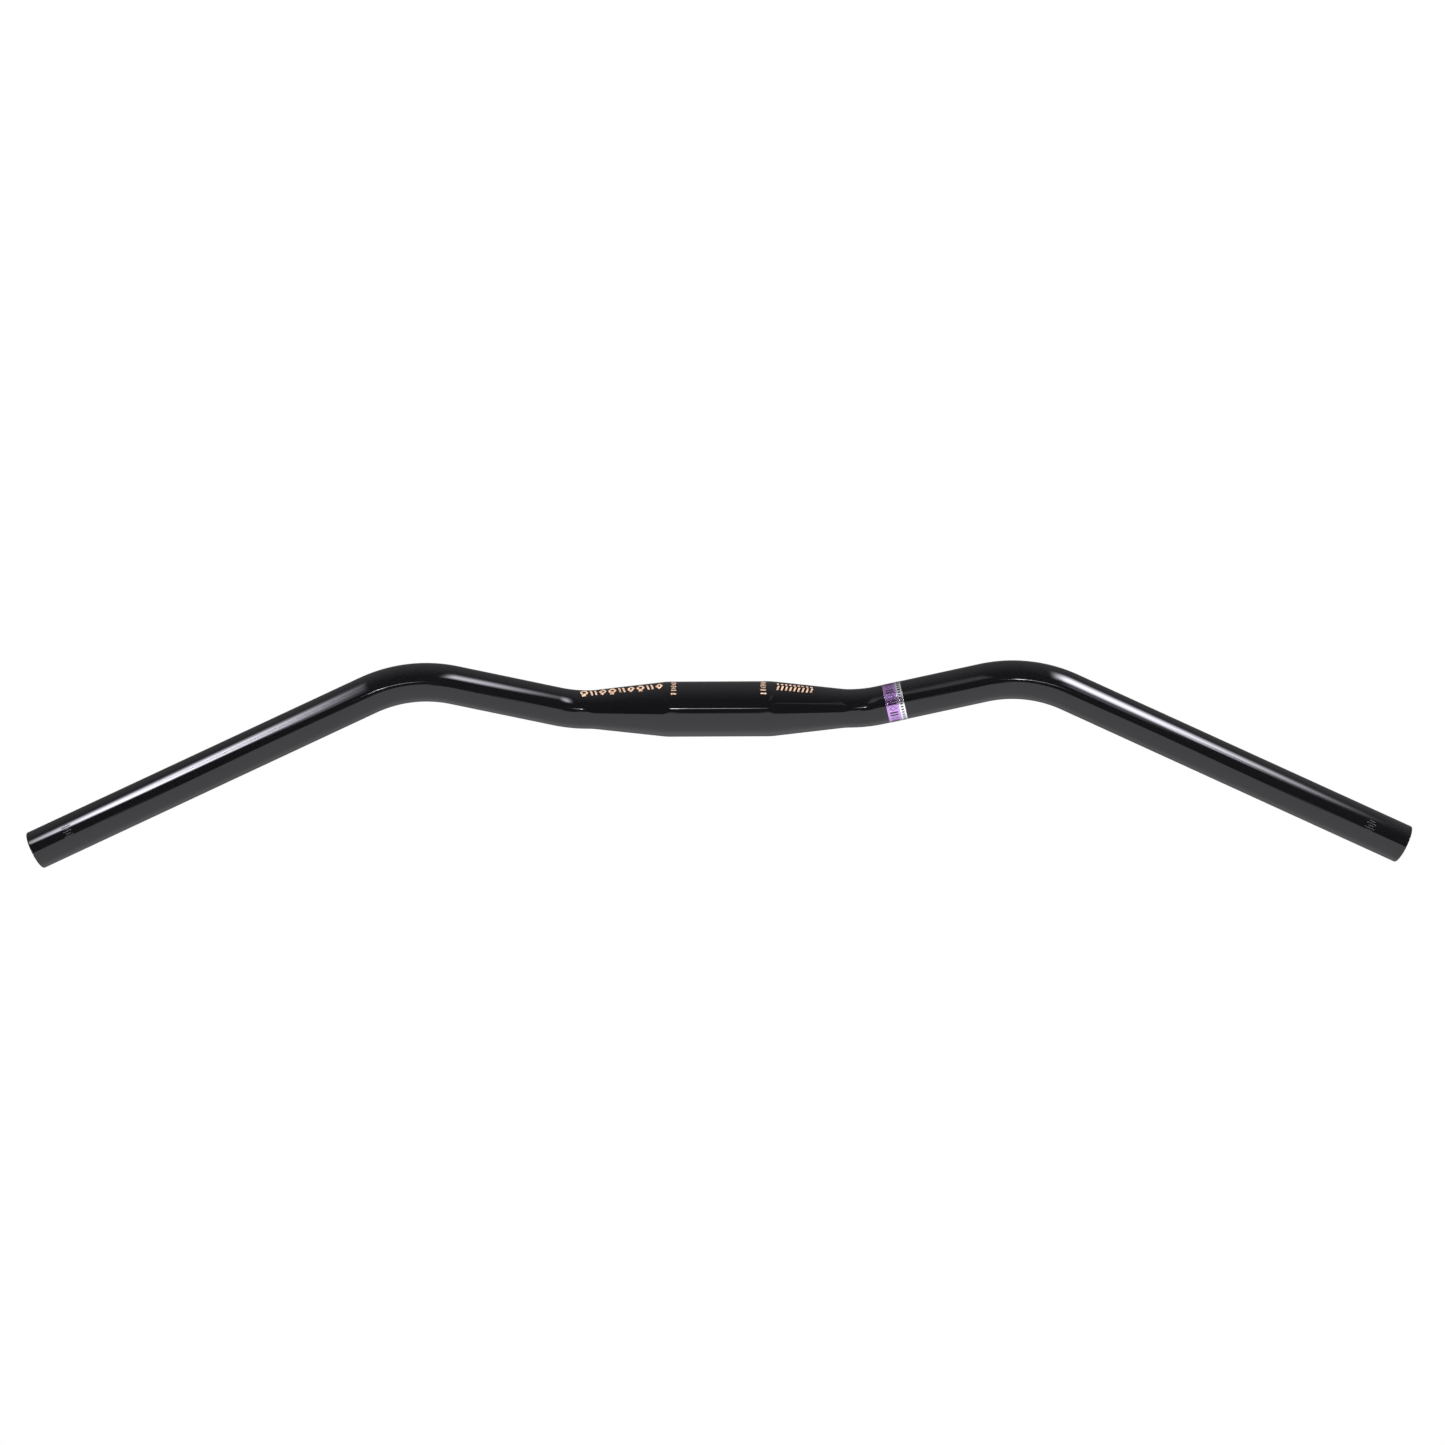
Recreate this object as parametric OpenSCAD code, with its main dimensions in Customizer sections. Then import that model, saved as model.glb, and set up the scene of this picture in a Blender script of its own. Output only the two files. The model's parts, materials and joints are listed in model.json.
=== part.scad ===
// Bicycle handlebar: one hollow aluminium tube, swaged to a thick clamp area and bent twice on
// each side, with its graphics, wrap label and end marks as thin pieces lying on its surface.
// Frame: the origin is the centre of the clamp area, on the tube's axis. +X is the rider's right,
// +Y is forward and +Z is up. The tube is symmetric about the YZ plane.

/* [Clamp area] */
// Diameter where the stem clamps
clamp_d = 31.8; // [28:0.1:35]
// Length of the full-diameter clamp area
clamp_len = 60; // [58:1:66]
// Length of each taper from the clamp area down to the tube
taper_len = 43; // [36:1:50]
// Radius that rounds the two corners of each taper
taper_blend_r = 40; // [20:5:60]
// Wall thickness in the clamp area
clamp_wall = 2.6; // [2:0.1:3.2]

/* [Tube] */
// Diameter of the tube and of the grip areas
tube_d = 22.2; // [21.8:0.1:22.6]
// Wall thickness of the tube
tube_wall = 2.2; // [1.6:0.1:3]
// Width over the outermost corners of the two ends
overall_w = 785; // [700:5:840]
// Bevel on the edges of the open ends
end_bevel = 0.4; // [0.2:0.1:0.6]

/* [Bends] */
// Angle at which the kick section leans forward of the clamp axis
kick_forward = 12; // [6:1:18]
// Angle at which the kick section rises
kick_up = 5; // [1:1:12]
// Straight length of the kick section, between the two bends
kick_len = 60; // [50:1:80]
// Centreline radius of the inner bend
inner_bend_r = 80; // [60:5:120]
// Centreline radius of the outer bend
outer_bend_r = 78; // [60:2:100]
// Angle at which the grip sweeps back from the clamp axis
backsweep = 25; // [10:1:35]
// Angle at which the grip rises towards its end
upsweep = 3; // [0:1:10]

/* [Graphics] */
// Thickness of the printed transfers
ink_t = 0.05; // [0.03:0.01:0.08]
// Angle from straight up to the middle of the side graphics, towards the front
graphic_angle = 56; // [45:1:65]
// Number of figures in the left side graphic
left_figures = 9; // [3:2:9]
// Number of bars in the right side graphic
right_bars = 9; // [3:2:9]
// Number of small ticks in each clamp scale
scale_ticks = 6; // [3:1:7]

/* [Wrap label] */
// Distance from the start of the kick's straight length to the label
label_start = 3; // [1:0.2:6]
// Width of the label's purple field
purple_w = 7.2; // [6:0.2:12]
// Width of the label's silver field
silver_w = 3.3; // [2.4:0.1:6]
// Thickness of the label's foil
foil_t = 0.08; // [0.05:0.01:0.15]

/* [End marks] */
// Distance from the end of the tube to the middle of the marks
mark_inset = 23; // [15:1:40]
// Number of lines in each group of marks
mark_lines = 6; // [3:1:8]

/* [Hidden] */
$fn = 96;

black_gloss = [0.03, 0.03, 0.035];
gold_ink = [0.86, 0.66, 0.50];
purple_foil = [0.62, 0.42, 0.76];
silver_foil = [0.88, 0.88, 0.90];
black_ink = [0.08, 0.05, 0.10];
matt_grey = [0.35, 0.35, 0.37];

clamp_r = clamp_d / 2;
clamp_bore_r = clamp_r - clamp_wall;
tube_r = tube_d / 2;
bore_r = tube_r - tube_wall;
taper_end = clamp_len / 2 + taper_len;
taper_angle = atan((clamp_r - tube_r) / taper_len);
// Distance along the axis from a taper corner to the end of its blend
blend_reach = taper_blend_r * tan(taper_angle / 2);
centre_half = taper_end + blend_reach;
blend_steps = 6;
// Bending draws the tube down by this much on its radius
bend_draw = 0.01;
// How far each bend runs into the straight lengths beside it
bend_lap = 0.2;
// How far a cutting solid runs past the face it cuts
overrun = 1;

// Directions of the straight lengths of the right-hand side
function heading(side, up) = [cos(up) * cos(side), cos(up) * sin(side), sin(up)];
clamp_dir = heading(0, 0);
kick_dir = heading(kick_forward, kick_up);
grip_dir = heading(-backsweep, upsweep);

// A bend from direction a to direction b: the angle it turns, and the way from its start to its centre
function turn(a, b) = acos(a * b);
function unit(v) = v / norm(v);
function inward(a, b) = unit(b - (a * b) * a);
// Where a bend of radius r that starts at p ends
function bend_end(p, a, b, r) = p + r * (sin(turn(a, b)) * a + (1 - cos(turn(a, b))) * inward(a, b));

inner_bend_start = [centre_half, 0, 0];
// Turns the centre section so that its seam meets the seams of the inner bends
centre_roll = atan2(inward(clamp_dir, kick_dir)[2], inward(clamp_dir, kick_dir)[1]);
kick_start = bend_end(inner_bend_start, clamp_dir, kick_dir, inner_bend_r);
outer_bend_start = kick_start + kick_len * kick_dir;
grip_start = bend_end(outer_bend_start, kick_dir, grip_dir, outer_bend_r);
// How far an end face's outermost corner stands out sideways from the face's centre
corner_reach = tube_r * sqrt(1 - pow(grip_dir[0], 2));
grip_len = (overall_w / 2 - corner_reach - grip_start[0]) / grip_dir[0];

// Left side graphic: one row of figures, of which each third one is a pair of leaning bars
left_graphic_start = 31.4;
left_row_offset = 3;
left_pitch = 5.4;
figure_w = 4.5;
figure_h = 6.6;
stroke_w = 1.15;
bars_w = 3.5;
bars_h = 5;
bars_lean = 1.2;
// Right side graphic: a row of leaning bars and a finer row of dashes in front of it
right_graphic_start = 32.6;
right_pitch = 2.4;
bar_w = 1.1;
bar_h = 3.8;
bar_lean = 1;
bar_row_offset = -6;
dash_w = 1.3;
dash_h = 1.7;
dash_row_offset = 9;
// Clamp scales: a wider tick on its own, then the small ones
first_tick_angle = 33;
first_tick_w = 1;
small_tick_start = 42;
small_tick_step = 6.5;
small_tick_w = 0.8;
left_scale_x = 25.9;
left_tick_len = 3;
right_scale_x = 25.4;
right_tick_len = 3.3;
// Print on the wrap label
print_t = 0.02;
print_figures = 20;
print_figure_w = 4.6;
print_figure_h = 2.7;
print_stroke = 0.95;
print_dashes = 40;
print_dash_w = 1.5;
print_dash_h = 0.8;
// End marks
mark_t = 0.02;
mark_w = 0.55;
mark_len = 5.4;
mark_step_angle = 7;
left_mark_angle = 11;
right_mark_angle = 2;

// Puts children at p with their +X along a heading and their +Z as upright as that allows
module along(p, side, up) {
    translate(p) rotate([0, -up, side]) children();
}

module on_kick() {
    along(kick_start, kick_forward, kick_up) children();
}

module on_grip() {
    along(grip_start, -backsweep, upsweep) children();
}

module on_left() {
    mirror([1, 0, 0]) children();
}

module on_both_sides() {
    children();
    on_left() children();
}

// Turns a solid that stands along Z so that it lies along X
module lying() {
    rotate([0, 90, 0]) children();
}

// Sweeps a 2D section round a bend that leaves p along direction a and ends along direction b,
// and runs it bend_lap into the straight lengths at both ends
module bend(p, side, up, a, b, r) {
    y_dir = [-sin(side), cos(side), 0];
    z_dir = cross(a, y_dir);
    roll = atan2(inward(a, b) * z_dir, inward(a, b) * y_dir);
    lap_angle = bend_lap / r * 180 / PI;
    along(p, side, up) rotate([roll, 0, 0]) translate([0, r, 0]) rotate([0, 0, -90 - lap_angle])
        rotate_extrude(angle = turn(a, b) + 2 * lap_angle) translate([r, 0]) children();
}

module inner_bend() {
    bend(inner_bend_start, 0, 0, clamp_dir, kick_dir, inner_bend_r) children();
}

module outer_bend() {
    bend(outer_bend_start, kick_forward, kick_up, kick_dir, grip_dir, outer_bend_r) children();
}

// Thin sleeve that lies on a straight cylinder of radius r, from x0 to x0 + len
module sleeve(x0, len, r, t) {
    translate([x0, 0, 0]) lying() difference() {
        cylinder(h = len, r = r + t);
        translate([0, 0, -overrun]) cylinder(h = len + 2 * overrun, r = r);
    }
}

// Carries a 2D figure out through the surface at distance x along the axis. The figure's own +X
// runs along the tube, and angle is measured from straight up towards the front.
module through_skin(x, angle, r) {
    rotate([-angle, 0, 0]) translate([x, 0, r / 2]) linear_extrude(r) children();
}

// ---- Bar tube ----

// Outline of the right half of the centre section, grown outwards, as [radius, distance] points
function blend_in(grow) = [
    for (i = [0 : blend_steps])
        let (a = taper_angle * i / blend_steps)
        [clamp_r + grow - taper_blend_r * (1 - cos(a)),
         clamp_len / 2 - blend_reach + taper_blend_r * sin(a)]
];

function blend_out(grow) = [
    for (i = [0 : blend_steps])
        let (a = taper_angle * (1 - i / blend_steps))
        [tube_r + grow + taper_blend_r * (1 - cos(a)), centre_half - taper_blend_r * sin(a)]
];

function half_outline(grow) = concat(blend_in(grow), blend_out(grow));
function reversed(points) = [for (i = [len(points) - 1 : -1 : 0]) points[i]];
function mirrored(points) = [for (p = reversed(points)) [p[0], -p[1]]];

module centre_solid() {
    rotate([centre_roll, 0, 0]) lying() rotate_extrude()
        polygon(concat([[0, -centre_half]], mirrored(half_outline(0)), half_outline(0),
                       [[0, centre_half]]));
}

module centre_hollow() {
    rotate([centre_roll, 0, 0]) lying() rotate_extrude()
        polygon([[0, -centre_half], [bore_r, -centre_half], [bore_r, -taper_end],
                 [clamp_bore_r, -clamp_len / 2], [clamp_bore_r, clamp_len / 2],
                 [bore_r, taper_end], [bore_r, centre_half], [0, centre_half]]);
}

module side_solid() {
    inner_bend() circle(tube_r - bend_draw);
    on_kick() lying() cylinder(h = kick_len, r = tube_r);
    outer_bend() circle(tube_r - bend_draw);
    on_grip() lying() {
        cylinder(h = grip_len - end_bevel, r = tube_r);
        translate([0, 0, grip_len - end_bevel])
            cylinder(h = end_bevel, r1 = tube_r, r2 = tube_r - end_bevel);
    }
}

module side_hollow() {
    inner_bend() circle(bore_r - bend_draw);
    on_kick() lying() cylinder(h = kick_len, r = bore_r);
    outer_bend() circle(bore_r - bend_draw);
    on_grip() lying() {
        cylinder(h = grip_len + overrun, r = bore_r);
        translate([0, 0, grip_len - end_bevel])
            cylinder(h = end_bevel + overrun, r1 = bore_r, r2 = bore_r + end_bevel + overrun);
    }
}

module bar_tube() {
    color(black_gloss) difference() {
        union() {
            centre_solid();
            on_both_sides() side_solid();
        }
        union() {
            centre_hollow();
            on_both_sides() side_hollow();
        }
    }
}

// ---- Wrap label on the right-hand kick section ----

module label_purple_band() {
    color(purple_foil) on_kick() sleeve(label_start, purple_w, tube_r, foil_t);
}

module label_silver_band() {
    color(silver_foil) on_kick() sleeve(label_start + purple_w, silver_w, tube_r, foil_t);
}

module label_print() {
    color(black_ink) on_kick() intersection() {
        sleeve(label_start, purple_w + silver_w, tube_r + foil_t, print_t);
        union() {
            for (i = [0 : print_figures - 1])
                through_skin(label_start + purple_w / 2, i * 360 / print_figures, tube_r)
                    if (i % 2 == 0) rotate(90) paired_bars(print_figure_h, print_figure_w, 0, print_stroke);
                    else open_rhombus(print_figure_w, print_figure_h, print_stroke / 2);
            for (i = [0 : print_dashes - 1])
                through_skin(label_start + purple_w + silver_w / 2, i * 360 / print_dashes, tube_r)
                    square([print_dash_w, print_dash_h], center = true);
        }
    }
}

// ---- Printed transfers ----

// Two parallel bars, w over both and h tall, whose tops lean over by lean
module paired_bars(w, h, lean, stroke) {
    for (x = [-w / 2, w / 2 - stroke])
        translate([x, 0])
            polygon([[-lean / 2, -h / 2], [stroke - lean / 2, -h / 2], [stroke + lean / 2, h / 2],
                     [lean / 2, h / 2]]);
}

module rhombus(w, h) {
    polygon([[-w / 2, 0], [0, -h / 2], [w / 2, 0], [0, h / 2]]);
}

// A rhombus with a hole of the same proportions, whose points lie 1.2 strokes inside its own
module open_rhombus(w, h, stroke) {
    hole_w = w - 2.4 * stroke;
    difference() {
        rhombus(w, h);
        rhombus(hole_w, h * hole_w / w);
    }
}

// A ring of diameter w with a short bar above it and one below it, h tall over both
module ring_with_bars(w, h, stroke) {
    difference() {
        circle(w / 2);
        circle(w / 2 - stroke);
    }
    for (y = [-h / 2, h / 2 - stroke])
        translate([-w / 4, y]) square([w / 2, stroke * 0.8]);
}

// Thin skin on the right-hand taper and inner bend, from which the side graphics are cut
module side_skin() {
    lying() rotate_extrude() polygon(concat(half_outline(ink_t), reversed(half_outline(0))));
    inner_bend() difference() {
        circle(tube_r - bend_draw + ink_t);
        circle(tube_r - bend_draw);
    }
}

module left_row() {
    for (i = [0 : left_figures - 1])
        through_skin(left_graphic_start + (i + 0.5) * left_pitch, graphic_angle + left_row_offset,
                     clamp_r)
            if (i % 3 == 0) open_rhombus(figure_w, figure_h, stroke_w);
            else if (i % 3 == 1) paired_bars(bars_w, bars_h, bars_lean, stroke_w);
            else ring_with_bars(figure_w, figure_h, stroke_w);
}

module right_rows() {
    for (i = [0 : right_bars - 1])
        let (x = right_graphic_start + (i + 0.5) * right_pitch) {
            through_skin(x, graphic_angle + bar_row_offset, clamp_r)
                polygon([[-bar_w / 2 - bar_lean / 2, -bar_h / 2], [bar_w / 2 - bar_lean / 2, -bar_h / 2],
                         [bar_w / 2 + bar_lean / 2, bar_h / 2], [-bar_w / 2 + bar_lean / 2, bar_h / 2]]);
            through_skin(x, graphic_angle + dash_row_offset, clamp_r)
                square([dash_w, dash_h], center = true);
        }
}

module left_side_graphic() {
    color(gold_ink) on_left() intersection() {
        side_skin();
        left_row();
    }
}

module right_side_graphic() {
    color(gold_ink) intersection() {
        side_skin();
        right_rows();
    }
}

// Column of ticks round the front of the clamp area, centred on x
module clamp_scale(x, tick_len) {
    intersection() {
        sleeve(x - tick_len, 2 * tick_len, clamp_r, ink_t);
        union() {
            through_skin(x, first_tick_angle, clamp_r)
                square([tick_len, first_tick_w], center = true);
            for (i = [0 : scale_ticks - 1])
                through_skin(x, small_tick_start + i * small_tick_step, clamp_r)
                    square([tick_len * (i % 2 == 0 ? 1 : 0.7), small_tick_w], center = true);
        }
    }
}

module left_clamp_scale() {
    color(gold_ink) on_left() clamp_scale(left_scale_x, left_tick_len);
}

module right_clamp_scale() {
    color(gold_ink) clamp_scale(right_scale_x, right_tick_len);
}

// ---- End marks ----

// Short lines along the grip, side by side, whose middle is at an angle from the top to the front
module end_marks(angle) {
    x = grip_len - mark_inset;
    on_grip() intersection() {
        sleeve(x - mark_len, 2 * mark_len, tube_r, mark_t);
        for (i = [0 : mark_lines - 1])
            through_skin(x, angle + (i - (mark_lines - 1) / 2) * mark_step_angle, tube_r)
                square([mark_len * (i % 2 == 0 ? 1 : 0.6), mark_w], center = true);
    }
}

module left_end_marks() {
    color(matt_grey) on_left() end_marks(left_mark_angle);
}

module right_end_marks() {
    color(matt_grey) end_marks(right_mark_angle);
}

bar_tube();
label_purple_band();
label_silver_band();
label_print();
left_side_graphic();
right_side_graphic();
left_clamp_scale();
right_clamp_scale();
left_end_marks();
right_end_marks();
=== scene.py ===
import json
import math

import bpy
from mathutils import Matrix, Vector


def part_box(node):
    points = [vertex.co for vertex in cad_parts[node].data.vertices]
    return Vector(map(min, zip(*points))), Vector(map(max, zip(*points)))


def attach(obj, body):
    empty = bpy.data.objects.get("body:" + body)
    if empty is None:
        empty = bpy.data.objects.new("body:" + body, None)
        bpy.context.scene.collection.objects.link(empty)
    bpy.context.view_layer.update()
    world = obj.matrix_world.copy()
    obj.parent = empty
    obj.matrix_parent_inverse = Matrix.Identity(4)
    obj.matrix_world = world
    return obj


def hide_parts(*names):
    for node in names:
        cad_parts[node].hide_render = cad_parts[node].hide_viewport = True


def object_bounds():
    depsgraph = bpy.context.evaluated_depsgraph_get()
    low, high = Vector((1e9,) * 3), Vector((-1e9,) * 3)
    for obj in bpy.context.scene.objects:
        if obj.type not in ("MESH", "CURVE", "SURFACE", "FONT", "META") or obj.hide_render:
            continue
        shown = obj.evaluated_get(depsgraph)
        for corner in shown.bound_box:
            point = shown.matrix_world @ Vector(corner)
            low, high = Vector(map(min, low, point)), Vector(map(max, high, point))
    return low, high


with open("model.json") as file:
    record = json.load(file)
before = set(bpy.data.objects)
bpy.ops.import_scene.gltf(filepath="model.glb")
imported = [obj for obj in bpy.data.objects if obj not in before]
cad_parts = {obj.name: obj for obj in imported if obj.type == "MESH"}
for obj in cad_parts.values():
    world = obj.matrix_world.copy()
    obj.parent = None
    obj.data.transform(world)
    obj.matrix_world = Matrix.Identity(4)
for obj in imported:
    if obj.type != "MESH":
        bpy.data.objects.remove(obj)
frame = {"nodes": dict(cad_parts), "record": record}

# Looks for a bare gloss-black bicycle handlebar. The CAD tube is replaced by a finely swept one of
# the same size, the foil label by two wrapped strips, and the printed pieces keep their CAD shapes.

cad_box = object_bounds()
record = frame["record"]
mounts = {m["name"]: m for m in record["mounts"]}
MM = 0.001

# Shape values that the frame doesn't name
CLAMP_LEN = 60 * MM
TAPER_LEN = 43 * MM
TAPER_BLEND_R = 40 * MM
CLAMP_WALL = 2.6 * MM
INNER_BEND_R = 80 * MM
OUTER_BEND_R = 78 * MM
END_BEVEL = 0.4 * MM
FOIL_T = 0.06 * MM
FOIL_LIFT = 0.01 * MM
FOIL_OVERLAP_DEG = 14
FOIL_LAP_RISE_DEG = 6
FOIL_LAP_LIFT = 1.15 * FOIL_T
CAD_FOIL_T = 0.08 * MM

# How finely things are meshed
SEGMENTS_ROUND = 192
STRIP_STEPS = 200
FINE_STEP = 0.5 * MM
COARSE_STEP = 6 * MM
DEGREES_PER_RING = 0.8
BEVEL_STEPS = 5

# Camera: straight above the bar, looking down, with forward at the top of the picture
CAMERA_AT = Vector((0.0, -0.0078, 1.3395))
CAMERA_YAW_DEG = -0.085
CAMERA_ROLL_DEG = -0.257
CAMERA_LENS_MM = 57.93
SENSOR_MM = 36

# Studio. Directions are given by their polar angle, from straight up, and their azimuth, from
# forward towards the right. Brightness 1 is that of the white floor.
FRONT_LAMPS_Y = 0.85
LAMP_TINT = (1.0, 0.98, 1.09, 1)
SURROUNDINGS_TINT = (1.0, 0.988, 1.03, 1)

# The wall's upper edge: its polar angle, its lowest place, and how far it bows down at one azimuth
# from the wall's middle and dips in the middle itself
WALL_EDGE_DEG = 13.2
WALL_EDGE_LIMIT_DEG = 62
WALL_BOW_DEG = 11
WALL_BOW_AT_DEG = 30
WALL_DIP_DEG = 5.5

LIGHT_BAR_FORWARD = 0.028
LIGHT_BAR_STRENGTH = 18
SPOT_RIGHT = -0.024
SPOT_STRENGTH = 90
FLOOR_HALF = 6.0
FLOOR_GAP = 0.05 * MM


# ---------------------------------------------------------------- node graphs

class Graph:
    """Builds a shader node tree; numbers and sockets can both be given as inputs."""

    def __init__(self, tree):
        self.tree = tree
        tree.nodes.clear()

    def node(self, kind, inputs=None, **settings):
        made = self.tree.nodes.new("ShaderNode" + kind)
        for key, value in settings.items():
            setattr(made, key, value)
        for key, value in (inputs or {}).items():
            self.feed(made.inputs[key], value)
        return made

    def feed(self, socket, value):
        if isinstance(value, bpy.types.NodeSocket):
            self.tree.links.new(value, socket)
        else:
            socket.default_value = value

    def math(self, operation, *values):
        return self.node("Math", dict(enumerate(values)), operation=operation).outputs[0]

    def dot(self, vector, fixed):
        made = self.node("VectorMath", {0: vector, 1: tuple(fixed)}, operation="DOT_PRODUCT")
        return made.outputs["Value"]

    def scaled(self, vector, factors):
        return self.node("VectorMath", {0: vector, 1: factors}, operation="MULTIPLY").outputs[0]

    def ramp(self, value, low, high, out_low=0.0, out_high=1.0):
        inputs = {"Value": value, "From Min": low, "From Max": high, "To Min": out_low,
                  "To Max": out_high}
        return self.node("MapRange", inputs, interpolation_type="SMOOTHSTEP").outputs["Result"]

    def noise(self, vector, scale, detail=2.0, roughness=0.5, distortion=0.0):
        inputs = {"Vector": vector, "Scale": scale, "Detail": detail, "Roughness": roughness,
                  "Distortion": distortion}
        return self.node("TexNoise", inputs).outputs["Fac"]

    def specks(self, vector, scale, size):
        """1 inside small dots scattered one to a cell, 0 elsewhere."""
        cells = self.node("TexVoronoi", {"Vector": vector, "Scale": scale})
        return self.ramp(cells.outputs["Distance"], size * 0.5, size, 1.0, 0.0)

    def colour_mix(self, factor, a, b):
        made = self.node("Mix", data_type="RGBA")
        sockets = {s.identifier: s for s in made.inputs}
        self.feed(sockets["Factor_Float"], factor)
        self.feed(sockets["A_Color"], a)
        self.feed(sockets["B_Color"], b)
        return next(s for s in made.outputs if s.identifier == "Result_Color")

    def bump(self, height, distance, normal=None):
        inputs = {"Height": height, "Distance": distance, "Strength": 1.0}
        if normal is not None:
            inputs["Normal"] = normal
        return self.node("Bump", inputs).outputs["Normal"]

    def position(self):
        return self.node("TexCoord").outputs["Object"]

    def degrees(self, radians):
        return self.math("MULTIPLY", radians, 180 / math.pi)

    def attribute(self, name):
        return self.node("Attribute", attribute_name=name)


def surface(name, build):
    """A material whose Principled inputs are what build(graph) returns."""
    material = bpy.data.materials.new(name)
    material.use_nodes = True
    graph = Graph(material.node_tree)
    shader = graph.node("BsdfPrincipled", build(graph))
    output = graph.node("OutputMaterial")
    graph.tree.links.new(shader.outputs[0], output.inputs["Surface"])
    return material


def grey(value):
    return (value, value, value, 1)


# ------------------------------------------------------------------ materials

def gloss_black_paint(g):
    """Deep gloss coat: faint orange peel, hazy wipe marks, hairlines and dust, worn at the rims."""
    place = g.attribute("bar_space").outputs["Vector"]
    from_end = g.attribute("from_end").outputs["Fac"]
    haze = g.ramp(g.noise(place, 45, 3, 0.6, 0.4), 0.45, 0.75)
    hairs = g.ramp(g.noise(g.scaled(place, (60, 2600, 2600)), 1, 2, 0.6), 0.66, 0.74)
    dust = g.specks(place, 330, 0.05)
    wear = g.math("MULTIPLY", g.ramp(from_end, 0.25 * MM, 0.6 * MM, 1.0, 0.0),
                  g.ramp(g.noise(place, 420, 4, 0.7), 0.6, 0.7))
    coat = g.colour_mix(g.math("MULTIPLY", dust, 0.35), (0.0030, 0.0030, 0.0036, 1),
                        (0.05, 0.05, 0.055, 1))
    rough = g.math("ADD", 0.035, g.math("MULTIPLY", haze, 0.03))
    rough = g.math("ADD", rough, g.math("MULTIPLY", hairs, 0.05))
    rough = g.math("ADD", rough, g.math("MULTIPLY", wear, 0.3))
    peel = g.bump(g.noise(place, 260, 1, 0.4), 0.002 * MM)
    waves = g.bump(g.noise(place, 38, 1, 0.4), 0.008 * MM, peel)
    return {"Base Color": g.colour_mix(wear, coat, (0.62, 0.63, 0.65, 1)), "Metallic": wear,
            "Roughness": rough, "IOR": 1.5, "Normal": waves}


def bare_bore(g):
    """Drawn aluminium inside the tube, dulled by oxide and a thin drift of black overspray."""
    place = g.attribute("bar_space").outputs["Vector"]
    from_end = g.attribute("from_end").outputs["Fac"]
    draw_lines = g.noise(g.scaled(place, (25, 1500, 1500)), 1, 3, 0.6)
    patches = g.noise(place, 120, 4, 0.6)
    bare = g.colour_mix(draw_lines, grey(0.16), grey(0.34))
    spray = g.math("MULTIPLY", g.ramp(from_end, 2 * MM, 22 * MM, 1.0, 0.0),
                   g.ramp(patches, 0.35, 0.6, 0.55, 1.0))
    return {"Base Color": g.colour_mix(spray, bare, grey(0.012)),
            "Metallic": g.math("SUBTRACT", 0.85, g.math("MULTIPLY", spray, 0.8)),
            "Roughness": g.ramp(patches, 0.3, 0.7, 0.34, 0.55),
            "Normal": g.bump(draw_lines, 0.02 * MM)}


def foil(tint, shadow_tint):
    """Mirror-like foil of one tint: creases, rubbed spots and fine scratches."""
    def build(g):
        place = g.position()
        crease = g.noise(place, 420, 2, 0.5, 0.6)
        rub = g.ramp(g.noise(place, 900, 3, 0.6), 0.52, 0.72)
        scratch = g.ramp(g.noise(g.scaled(place, (300, 4200, 4200)), 1, 1, 0.5), 0.68, 0.74)
        rough = g.math("ADD", 0.24, g.math("MULTIPLY", rub, 0.1))
        rough = g.math("ADD", rough, g.math("MULTIPLY", scratch, 0.12))
        return {"Base Color": g.colour_mix(rub, tint, shadow_tint), "Metallic": 1.0,
                "Roughness": rough, "Normal": g.bump(crease, 0.0025 * MM)}
    return build


def gold_ink(g):
    """Screen-printed gold: flake sparkle, thin patches and a slightly raised grain."""
    place = g.position()
    flake = g.noise(place, 3200, 2, 0.6)
    thin = g.ramp(g.noise(place, 520, 3, 0.6), 0.5, 0.75)
    gold = g.colour_mix(flake, (0.74, 0.45, 0.27, 1), (0.95, 0.68, 0.46, 1))
    return {"Base Color": g.colour_mix(thin, gold, (0.42, 0.21, 0.11, 1)),
            "Metallic": 0.25, "Roughness": g.ramp(flake, 0.3, 0.7, 0.3, 0.48),
            "Normal": g.bump(flake, 0.004 * MM)}


def black_print(g):
    """Black ink on the label: gloss where it is thick, dull at the edges of each patch."""
    place = g.position()
    body = g.noise(place, 1500, 3, 0.6)
    return {"Base Color": g.colour_mix(body, (0.010, 0.004, 0.014, 1), (0.035, 0.016, 0.045, 1)),
            "Roughness": g.ramp(body, 0.35, 0.7, 0.12, 0.38), "IOR": 1.5,
            "Normal": g.bump(body, 0.003 * MM)}


def laser_mark(g):
    """Lightly burnt coat: matt grey with a coarse grain."""
    place = g.position()
    grain = g.noise(place, 4200, 2, 0.7)
    return {"Base Color": g.colour_mix(grain, grey(0.012), grey(0.045)),
            "Roughness": g.ramp(grain, 0.3, 0.7, 0.55, 0.8),
            "Normal": g.bump(grain, 0.01 * MM)}


# ------------------------------------------------------------------- geometry

def centre_of(node):
    low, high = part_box(node)
    return (low + high) / 2


def crossing(p, a, q, b):
    """Where the line through p along a comes closest to the line through q along b."""
    between = q - p
    along = a.dot(b)
    reach = (between.dot(a) - along * between.dot(b)) / (1 - along * along)
    return p + a * reach


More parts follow.
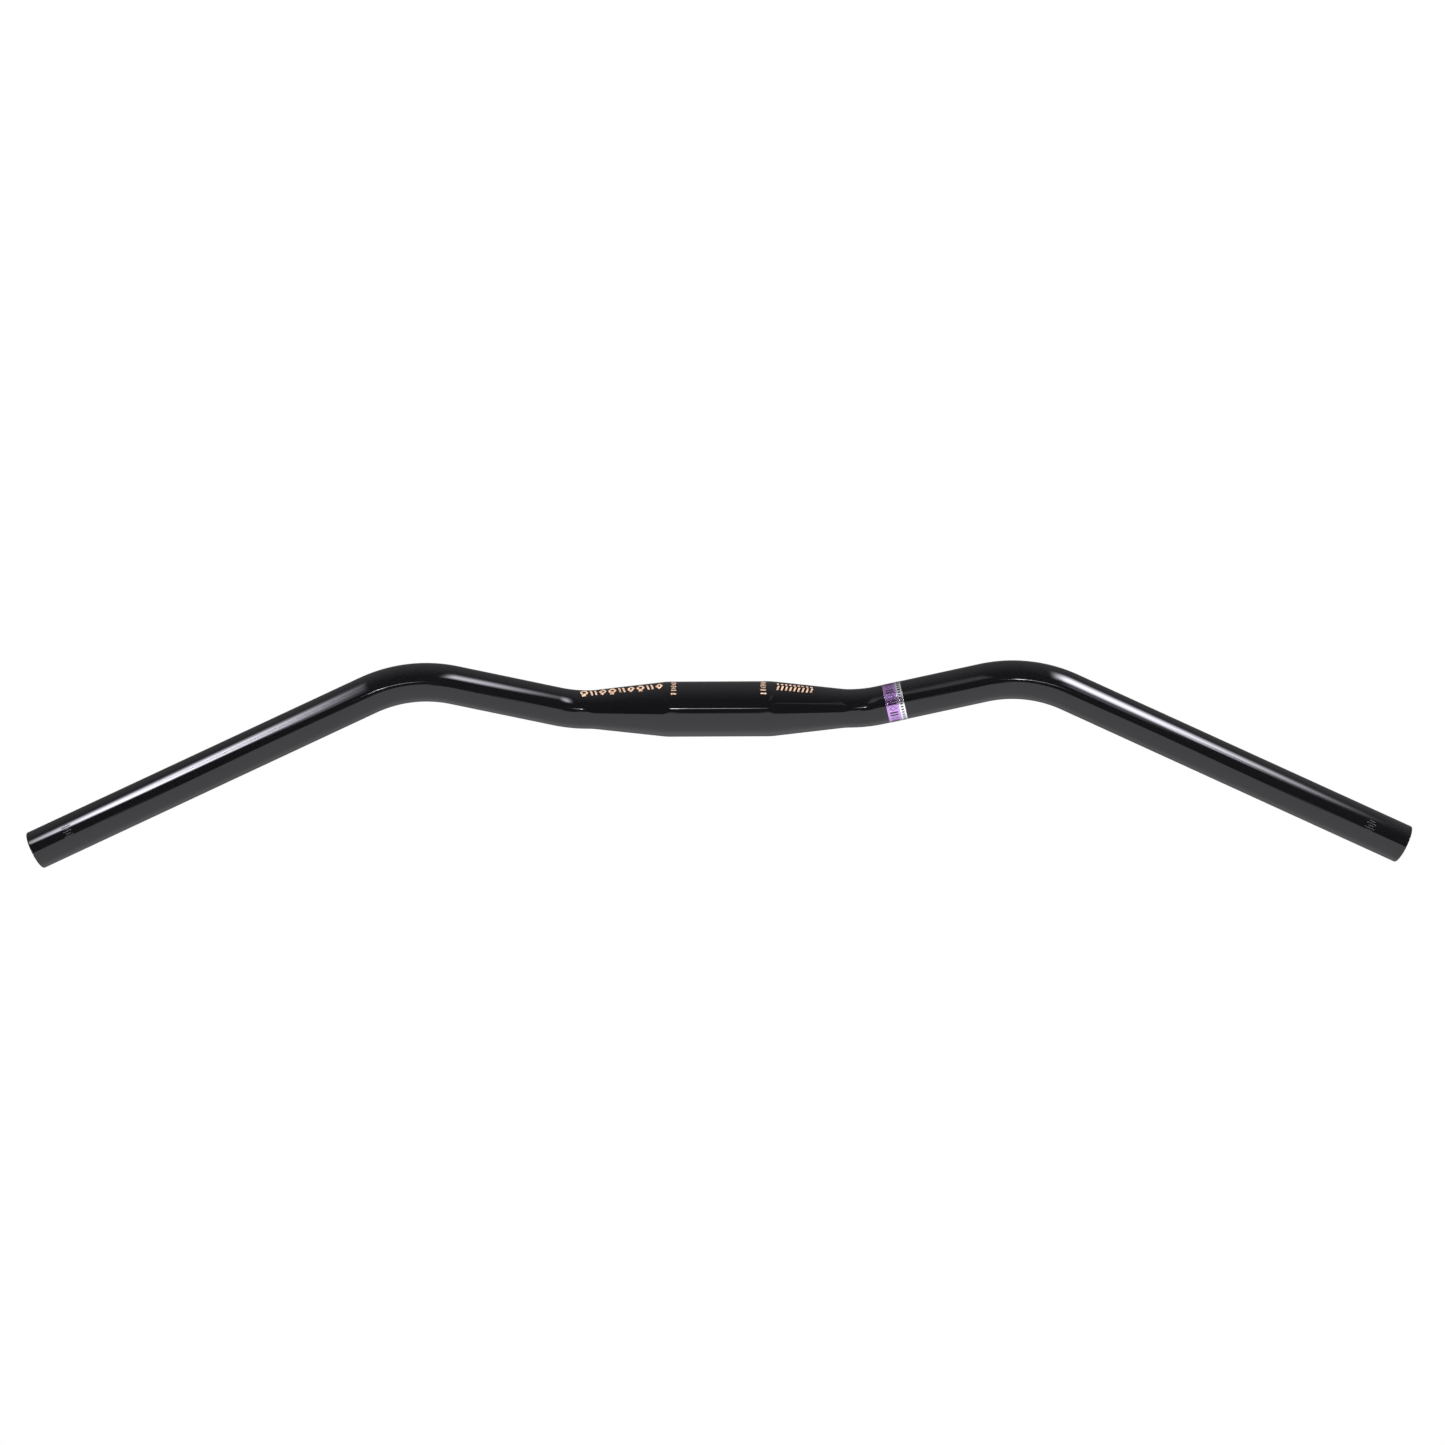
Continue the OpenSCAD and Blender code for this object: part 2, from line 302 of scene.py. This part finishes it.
class Bend:
    """Arc of radius r that turns from line (p, a) onto line (q, b)."""

    def __init__(self, p, a, q, b, r):
        self.a = a
        self.r = r
        self.turn = a.angle(b)
        self.inward = (b - a * a.dot(b)).normalized()
        corner = crossing(p, a, q, b)
        self.start = corner - a * (r * math.tan(self.turn / 2))
        self.end = corner + b * (r * math.tan(self.turn / 2))

    def at(self, angle):
        step = self.a * math.sin(angle) + self.inward * (1 - math.cos(angle))
        return self.start + step * self.r

    def heading(self, angle):
        return self.a * math.cos(angle) + self.inward * math.sin(angle)


# The right-hand side's straight lines, from the frame: the clamp axis, the kick and the grip
clamp_r = mounts["clamp_seat"]["dims"]["r_mm"] * MM
tube_r = mounts["right_grip_seat"]["dims"]["r_mm"] * MM
bore_r = mounts["right_end_bore"]["dims"]["r_mm"] * MM
clamp_axis = Vector((1, 0, 0))
label_at = centre_of("label_purple_band")
kick_axis = (centre_of("label_silver_band") - label_at).normalized()
grip_at = Vector(mounts["right_grip_seat"]["pos_m"])
grip_axis = Vector(mounts["right_grip_seat"]["axis"]).normalized()
grip_half = mounts["right_grip_seat"]["dims"]["length_mm"] * MM / 2
grip_end = grip_at + grip_axis * (grip_half + END_BEVEL)

inner_bend = Bend(Vector((0, 0, 0)), clamp_axis, label_at, kick_axis, INNER_BEND_R)
outer_bend = Bend(label_at, kick_axis, grip_at, grip_axis, OUTER_BEND_R)

taper_angle = math.atan((clamp_r - tube_r) / TAPER_LEN)
blend_reach = TAPER_BLEND_R * math.tan(taper_angle / 2)
taper_start = CLAMP_LEN / 2 - blend_reach
taper_end = CLAMP_LEN / 2 + TAPER_LEN + blend_reach
blend_run = TAPER_BLEND_R * math.sin(taper_angle)


def outer_radius(x):
    """Radius of the centre section at distance x from the middle: bulge, rounded taper, tube."""
    if x <= taper_start:
        return clamp_r
    if x < taper_start + blend_run:
        return clamp_r - TAPER_BLEND_R * (1 - math.cos(math.asin((x - taper_start) / TAPER_BLEND_R)))
    if x < taper_end - blend_run:
        return tube_r + (CLAMP_LEN / 2 + TAPER_LEN - x) * math.tan(taper_angle)
    if x < taper_end:
        return tube_r + TAPER_BLEND_R * (1 - math.cos(math.asin((taper_end - x) / TAPER_BLEND_R)))
    return tube_r


def inner_radius(x):
    """Bore radius of the centre section: wide under the bulge, then a plain cone."""
    wide = clamp_r - CLAMP_WALL
    share = min(1, max(0, (x - CLAMP_LEN / 2) / TAPER_LEN))
    return wide + (bore_r - wide) * share


def steps(start, end, step):
    count = max(1, math.ceil((end - start) / step))
    return [start + (end - start) * i / count for i in range(count)]


def right_half_stations():
    """(place, heading, outer radius, bore radius) from the middle of the bar to its right end."""
    stations = []
    for x in (steps(0, taper_start, COARSE_STEP)
              + steps(taper_start, inner_bend.start.x, FINE_STEP)):
        stations.append((clamp_axis * x, clamp_axis, outer_radius(x), inner_radius(x)))
    before_end = grip_end - grip_axis * 4 * FINE_STEP
    for bend, next_line, line_end in ((inner_bend, kick_axis, outer_bend.start),
                                      (outer_bend, grip_axis, before_end)):
        for angle in steps(0, bend.turn, math.radians(DEGREES_PER_RING)):
            stations.append((bend.at(angle), bend.heading(angle), tube_r, bore_r))
        length = (line_end - bend.end).length
        for x in steps(0, length, COARSE_STEP):
            stations.append((bend.end + next_line * x, next_line, tube_r, bore_r))
    for from_end in (END_BEVEL + FINE_STEP, END_BEVEL):
        stations.append((grip_end - grip_axis * from_end, grip_axis, tube_r, bore_r))
    return stations


def mirrored(v):
    return Vector((-v.x, v.y, v.z))


def whole_bar_stations():
    """The same stations from the left end to the right end."""
    right = right_half_stations()
    left = [(mirrored(p), -mirrored(d), r, b) for p, d, r, b in reversed(right[1:])]
    return left + right


def transported(stations):
    """A sideways direction for each station that never twists about the bar."""
    side = Vector((0, 0, 1))
    middle = len(stations) // 2
    sides = [None] * len(stations)
    for order in (range(middle, len(stations)), range(middle - 1, -1, -1)):
        last = side
        for i in order:
            heading = stations[i][1]
            last = (last - heading * last.dot(heading)).normalized()
            sides[i] = last
    return sides


def distances(stations):
    """Distance of each station along the centreline from the middle of the bar."""
    middle = len(stations) // 2
    reach = [0.0] * len(stations)
    for i in range(middle + 1, len(stations)):
        reach[i] = reach[i - 1] + (stations[i][0] - stations[i - 1][0]).length
    for i in range(middle - 1, -1, -1):
        reach[i] = reach[i + 1] - (stations[i][0] - stations[i + 1][0]).length
    return reach


def rim_profile():
    """(radius, distance inside the end face) round the rim, from the outside to the bore."""
    profile = []
    for i in range(1, BEVEL_STEPS + 1):
        angle = math.pi / 2 * i / BEVEL_STEPS
        profile.append((tube_r - END_BEVEL * (1 - math.cos(angle)), END_BEVEL * (1 - math.sin(angle))))
    profile.append((tube_r - 1.5 * END_BEVEL, 0))
    profile.append((bore_r + 1.5 * END_BEVEL, 0))
    for i in range(BEVEL_STEPS, 0, -1):
        angle = math.pi / 2 * i / BEVEL_STEPS
        profile.append((bore_r + END_BEVEL * (1 - math.cos(angle)), END_BEVEL * (1 - math.sin(angle))))
    return profile


def bar_rings():
    """Every ring of the tube in order: outside, right rim, bore, left rim.
    A ring is (centre, heading, side, radius, distance along, distance from the end, is bore)."""
    stations = whole_bar_stations()
    sides = transported(stations)
    reach = distances(stations)
    half = reach[-1] + END_BEVEL
    rings = []
    for (p, d, outer, _), side, s in zip(stations, sides, reach):
        rings.append((p, d, side, outer, s, half - abs(s), False))
    right_face = stations[-1][0] + stations[-1][1] * END_BEVEL
    for radius, inside in rim_profile():
        d = stations[-1][1]
        rings.append((right_face - d * inside, d, sides[-1], radius, half - inside, inside, False))
    for (p, d, _, bore), side, s in reversed(list(zip(stations, sides, reach))):
        rings.append((p, d, side, bore, s, half - abs(s), True))
    left_face = stations[0][0] - stations[0][1] * END_BEVEL
    for radius, inside in reversed(rim_profile()):
        d = stations[0][1]
        rings.append((left_face + d * inside, d, sides[0], radius, inside - half, inside, False))
    return rings


def mesh_object(name, vertices, faces, materials):
    mesh = bpy.data.meshes.new(name)
    mesh.from_pydata(vertices, [], faces)
    for material in materials:
        mesh.materials.append(material)
    mesh.polygons.foreach_set("use_smooth", [True] * len(mesh.polygons))
    mesh.update()
    made = bpy.data.objects.new(name, mesh)
    bpy.context.scene.collection.objects.link(made)
    return made


def swept_tube(name, paint, bore_finish):
    """The bar as one closed skin of quads, with its unrolled coordinates kept for the materials."""
    rings = bar_rings()
    vertices, unrolled, ends = [], [], []
    for centre, heading, side, radius, s, from_end, _ in rings:
        across = heading.cross(side)
        for j in range(SEGMENTS_ROUND):
            angle = 2 * math.pi * j / SEGMENTS_ROUND
            vertices.append(centre + (side * math.cos(angle) + across * math.sin(angle)) * radius)
            unrolled.append((s, radius * math.cos(angle), radius * math.sin(angle)))
            ends.append(from_end)
    faces, slots = [], []
    for i, ring in enumerate(rings):
        following = (i + 1) % len(rings)
        for j in range(SEGMENTS_ROUND):
            k = (j + 1) % SEGMENTS_ROUND
            faces.append((i * SEGMENTS_ROUND + j, i * SEGMENTS_ROUND + k,
                          following * SEGMENTS_ROUND + k, following * SEGMENTS_ROUND + j))
            in_bore = ring[-1] and rings[following][-1]
            slots.append(1 if in_bore else 0)
    made = mesh_object(name, vertices, faces, [paint, bore_finish])
    made.data.polygons.foreach_set("material_index", slots)
    space = made.data.attributes.new("bar_space", "FLOAT_VECTOR", "POINT")
    space.data.foreach_set("vector", [c for v in unrolled for c in v])
    made.data.attributes.new("from_end", "FLOAT", "POINT").data.foreach_set("value", ends)
    return made


def strip_profile(width):
    """(distance along the kick, height) across a foil strip, with a rounded edge on each side."""
    edge = FOIL_T * 0.5
    rise = [(0, 0), (edge * 0.3, FOIL_T * 0.8), (edge, FOIL_T), (edge * 2, FOIL_T), (edge * 4, FOIL_T)]
    return ([(x - width / 2, height) for x, height in rise]
            + [(width / 2 - x, height) for x, height in reversed(rise)])


def wrapped_strip(name, node, finish):
    """Foil strip wrapped once round the kick, whose free end laps over its start underneath."""
    middle = centre_of(node)
    up = (Vector((0, 0, 1)) - kick_axis * kick_axis.z).normalized()
    across = kick_axis.cross(up)
    profile = strip_profile(strip_width(node))
    vertices = []
    for i in range(STRIP_STEPS + 1):
        degrees = (360 + FOIL_OVERLAP_DEG) * i / STRIP_STEPS
        over = min(1, max(0, (degrees - 360) / FOIL_LAP_RISE_DEG + 1))
        base = tube_r + FOIL_LIFT + FOIL_LAP_LIFT * over
        angle = math.radians(180 + degrees)
        outward = up * math.cos(angle) + across * math.sin(angle)
        for x, height in profile:
            vertices.append(middle + kick_axis * x + outward * (base + height))
    n = len(profile)
    faces = []
    for i in range(STRIP_STEPS):
        for j in range(n):
            k = (j + 1) % n
            faces.append((i * n + j, (i + 1) * n + j, (i + 1) * n + k, i * n + k))
    faces.append(tuple(range(n)))
    faces.append(tuple(STRIP_STEPS * n + j for j in reversed(range(n))))
    return mesh_object(name, vertices, faces, [finish])


def strip_width(node):
    """Width of a band along the kick: its box's long side, less what the tilted rim adds."""
    low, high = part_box(node)
    rim = 2 * (tube_r + CAD_FOIL_T) * math.sqrt(1 - kick_axis.x ** 2)
    return (high.x - low.x - rim) / kick_axis.x


# ---------------------------------------------------------------------- stage

def near_direction(g, direction, right, forward, half_right, half_forward):
    """1 for directions close to one that leans right and forward from straight up, else 0."""
    u = g.math("DIVIDE", g.math("SUBTRACT", g.dot(direction, (1, 0, 0)), right), half_right)
    v = g.math("DIVIDE", g.math("SUBTRACT", g.dot(direction, (0, 1, 0)), forward), half_forward)
    apart = g.math("ADD", g.math("MULTIPLY", u, u), g.math("MULTIPLY", v, v))
    upward = g.ramp(g.dot(direction, (0, 0, 1)), 0.0, 0.5)
    return g.math("MULTIPLY", g.math("POWER", 0.5, apart), upward)


def back_wall(g, polar, azimuth):
    """White wall on the rider's side of the bar. Its upper edge bows down to both sides and dips in
    the middle, and the wall fades towards the floor."""
    turn = g.math("SUBTRACT", 180, g.math("ABSOLUTE", azimuth))
    bow = g.math("POWER", g.math("DIVIDE", turn, WALL_BOW_AT_DEG), 2)
    bow = g.math("MULTIPLY", bow, WALL_BOW_DEG)
    dip = g.ramp(turn, 3, 7, WALL_DIP_DEG, 0.0)
    edge = g.math("ADD", g.math("ADD", bow, dip), WALL_EDGE_DEG)
    past_edge = g.math("SUBTRACT", polar, g.math("MINIMUM", edge, WALL_EDGE_LIMIT_DEG))
    wall = g.math("MULTIPLY", g.ramp(past_edge, -3, 2.5), g.ramp(turn, 75, 110, 1.0, 0.0))
    wall = g.math("MULTIPLY", wall, g.ramp(polar, 60, 118, 1.24, 0.95))
    return g.math("MULTIPLY", wall, g.ramp(polar, 112, 165, 1.0, 0.2))


def dim_room(g, polar, azimuth):
    """Dim room all round, brightest at the horizon and a little darker on the left."""
    room = g.math("ADD", g.ramp(polar, 30, 95, 0.11, 0.38), g.ramp(polar, 95, 150, 0.0, -0.18))
    return g.math("MULTIPLY", room, g.ramp(azimuth, -42, -30, 0.85, 1.0))


def lights_above(g, direction):
    """Thin light bar beside the camera, with a small bright spot at its left end."""
    light_bar = near_direction(g, direction, right=0.0, forward=LIGHT_BAR_FORWARD,
                               half_right=0.018, half_forward=0.007)
    spot = near_direction(g, direction, right=SPOT_RIGHT, forward=LIGHT_BAR_FORWARD,
                          half_right=0.005, half_forward=0.008)
    return g.math("ADD", g.math("MULTIPLY", light_bar, LIGHT_BAR_STRENGTH),
                  g.math("MULTIPLY", spot, SPOT_STRENGTH))


def studio_surroundings():
    """World light made of the wall, the room and the lights above. The camera itself sees white."""
    world = bpy.data.worlds.new("studio")
    bpy.context.scene.world = world
    world.use_nodes = True
    g = Graph(world.node_tree)
    direction = g.node("TexCoord").outputs["Generated"]
    polar = g.degrees(g.math("ARCCOSINE", g.dot(direction, (0, 0, 1))))
    azimuth = g.degrees(g.math("ARCTAN2", g.dot(direction, (1, 0, 0)), g.dot(direction, (0, 1, 0))))
    light = g.math("MAXIMUM", back_wall(g, polar, azimuth), dim_room(g, polar, azimuth))
    light = g.math("ADD", light, lights_above(g, direction))
    seen_directly = g.node("LightPath").outputs["Is Camera Ray"]
    strength = g.math("ADD", g.math("MULTIPLY", light, g.math("SUBTRACT", 1.0, seen_directly)),
                      seen_directly)
    shader = g.node("Background", {"Color": SURROUNDINGS_TINT, "Strength": strength})
    output = g.node("OutputWorld")
    g.tree.links.new(shader.outputs[0], output.inputs["Surface"])


def lamp_material(name, strength, fades, beam):
    """Light that fades in from the card's edges and, with a beam, only reaches some directions."""
    material = bpy.data.materials.new(name)
    material.use_nodes = True
    g = Graph(material.node_tree)
    place = g.node("SeparateXYZ", {"Vector": g.attribute("on_card").outputs["Vector"]}).outputs
    left, right, low, high = fades
    glow = g.math("MULTIPLY", g.ramp(place["X"], 0, left), g.ramp(place["X"], 1 - right, 1, 1.0, 0.0))
    glow = g.math("MULTIPLY", glow, g.ramp(place["Y"], 0, low))
    glow = g.math("MULTIPLY", glow, g.ramp(place["Y"], 1 - high, 1, 1.0, 0.0))
    if beam:
        dark, lit = beam
        sign = 1 if lit > dark else -1
        back = g.node("NewGeometry").outputs["Incoming"]
        sight = g.degrees(g.math("ARCTAN2", g.dot(back, (-1, 0, 0)), g.dot(back, (0, -1, 0))))
        sight = g.math("MULTIPLY", sight, sign)
        glow = g.math("MULTIPLY", glow, g.ramp(sight, dark * sign, lit * sign))
    emission = g.node("Emission", {"Color": LAMP_TINT, "Strength": g.math("MULTIPLY", glow, strength)})
    both = g.node("AddShader", {0: emission.outputs[0], 1: g.node("BsdfTransparent").outputs[0]})
    output = g.node("OutputMaterial")
    g.tree.links.new(both.outputs[0], output.inputs["Surface"])
    return material


def front_lamp(name, x, z, half_width, half_height, strength, fades, slant=0, beam=None):
    """Upright soft-edged lamp forward of the bar, which the camera doesn't see.

    slant is how much higher the right edge is than the middle. fades are the shares of the card over
    which its light fades in from the left, right, lower and upper edges. beam = (dark, lit) limits
    what sees the lamp, as a grid does, by the azimuth in degrees of the line of sight to it."""
    centre = Vector((x, FRONT_LAMPS_Y, z))
    across = Vector((half_width, 0, slant))
    up = Vector((0, 0, half_height))
    corners = [centre - across - up, centre + across - up, centre + across + up, centre - across + up]
    card = mesh_object(name, corners, [(0, 1, 2, 3)], [lamp_material(name, strength, fades, beam)])
    on_card = card.data.attributes.new("on_card", "FLOAT_VECTOR", "POINT")
    on_card.data.foreach_set("vector", (0, 0, 0, 1, 0, 0, 1, 1, 0, 0, 1, 0))
    card.visible_camera = False
    card.visible_shadow = False


def front_lamps():
    """A lamp with a glow above it for each grip, and a narrower lamp for each kick."""
    front_lamp("left_lamp", x=-0.925, z=1.12, half_width=0.325, half_height=0.825, slant=-0.30,
               strength=30, fades=(0.38, 0.42, 0.47, 0.53))
    front_lamp("left_lamp_glow", x=-0.925, z=2.15, half_width=0.325, half_height=1.25, slant=-0.3,
               strength=4.5, fades=(0.3, 0.4, 0.35, 0.6), beam=(-36, -31))
    front_lamp("right_lamp", x=0.765, z=0.78, half_width=0.335, half_height=0.7, slant=0.12,
               strength=25, fades=(0.25, 0.6, 0.42, 0.57))
    front_lamp("right_lamp_glow", x=0.80, z=2.0, half_width=0.30, half_height=1.2,
               strength=1.6, fades=(0.3, 0.6, 0.35, 0.6), beam=(36, 31))
    front_lamp("narrow_lamp", x=0.06, z=0.9, half_width=0.14, half_height=0.625,
               strength=13, fades=(0.6, 0.5, 0.42, 0.56), beam=(6, 14))
    front_lamp("faint_lamp", x=-0.14, z=1.65, half_width=0.1, half_height=1.15,
               strength=0.8, fades=(0.25, 0.25, 0.3, 0.6), beam=(-10, -14))


def pale_floor():
    """Evenly lit white floor, which the bar's clamp bulge rests on."""
    z = cad_box[0][2] - FLOOR_GAP
    corners = [(-FLOOR_HALF, -FLOOR_HALF, z), (FLOOR_HALF, -FLOOR_HALF, z),
               (FLOOR_HALF, FLOOR_HALF, z), (-FLOOR_HALF, FLOOR_HALF, z)]
    material = bpy.data.materials.new("pale_floor")
    material.use_nodes = True
    g = Graph(material.node_tree)
    shader = g.node("Emission", {"Color": grey(1.0), "Strength": 1.0})
    output = g.node("OutputMaterial")
    g.tree.links.new(shader.outputs[0], output.inputs["Surface"])
    floor = mesh_object("floor", corners, [(0, 1, 2, 3)], [material])
    floor.visible_glossy = False
    floor.visible_diffuse = False
    floor.visible_shadow = False


def photo_camera():
    data = bpy.data.cameras.new("camera")
    data.sensor_width = SENSOR_MM
    data.lens = CAMERA_LENS_MM
    data.clip_start = 0.01
    camera = bpy.data.objects.new("camera", data)
    camera.location = CAMERA_AT
    camera.rotation_euler = (0, math.radians(CAMERA_YAW_DEG), math.radians(CAMERA_ROLL_DEG))
    bpy.context.scene.collection.objects.link(camera)
    bpy.context.scene.camera = camera


# ----------------------------------------------------------------- assembling

paint = surface("gloss_black_paint", gloss_black_paint)
bore_finish = surface("bare_bore", bare_bore)
purple = surface("purple_foil", foil((0.60, 0.36, 0.76, 1), (0.50, 0.28, 0.66, 1)))
silver = surface("silver_foil", foil((0.88, 0.88, 0.90, 1), (0.74, 0.74, 0.76, 1)))
gold = surface("gold_ink", gold_ink)
ink = surface("black_print", black_print)
burnt = surface("laser_mark", laser_mark)

tube = swept_tube("handlebar_tube", paint, bore_finish)
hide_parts("bar_tube")
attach(tube, "root")

for piece_name, node_name, finish, slot_name in (
        ("purple_foil_strip", "label_purple_band", purple, "purple_foil"),
        ("silver_foil_strip", "label_silver_band", silver, "silver_foil")):
    strip = wrapped_strip(piece_name, node_name, finish)
    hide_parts(node_name)
    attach(strip, "root")

for node_name, finish in (("label_print", ink), ("left_side_graphic", gold),
                          ("right_side_graphic", gold), ("left_clamp_scale", gold),
                          ("right_clamp_scale", gold), ("left_end_marks", burnt),
                          ("right_end_marks", burnt)):
    for material_slot in frame["nodes"][node_name].material_slots:
        material_slot.material = finish

studio_surroundings()
front_lamps()
pale_floor()
photo_camera()
bpy.context.scene.view_settings.view_transform = "Standard"
